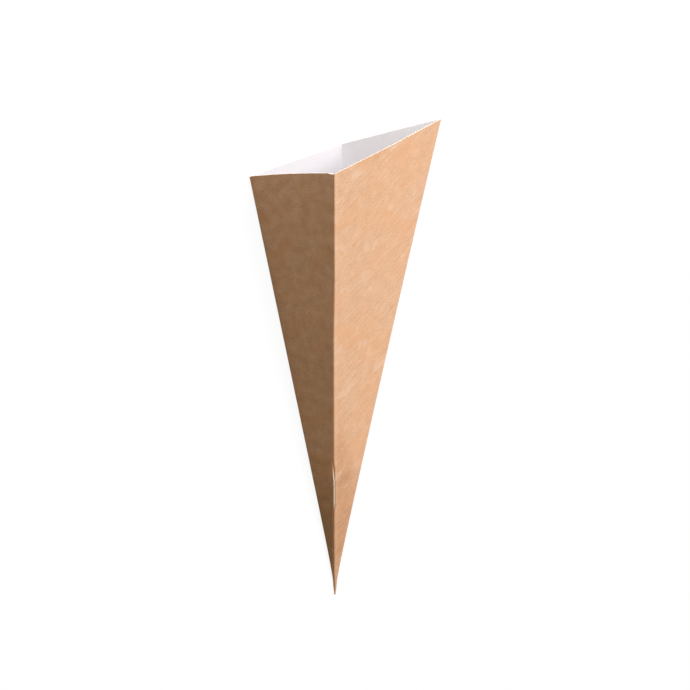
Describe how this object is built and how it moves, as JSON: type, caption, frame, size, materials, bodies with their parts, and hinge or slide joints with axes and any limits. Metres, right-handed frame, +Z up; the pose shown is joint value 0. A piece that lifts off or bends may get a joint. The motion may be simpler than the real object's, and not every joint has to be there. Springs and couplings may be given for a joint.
{
  "type": "french fries cone",
  "caption": "Pointed takeaway cone of folded kraft board with a white lining and a slanted open mouth, glued along one fold.",
  "frame": {"origin": "on the surface the cone lies on, under the middle of its bounding box", "axes": "+Y from the closed tip towards the open mouth, +Z up, and the back left panel flat on Z = 0"},
  "size_m": [0.0858, 0.2676, 0.0659],
  "materials": {
    "kraft_board": "uncoated brown kraft outside with fine diagonal fibre streaks, matt white lining inside, pale cut edges"
  },
  "bodies": {
    "root": {"fries_cone": "kraft_board"}
  },
  "joints": []
}
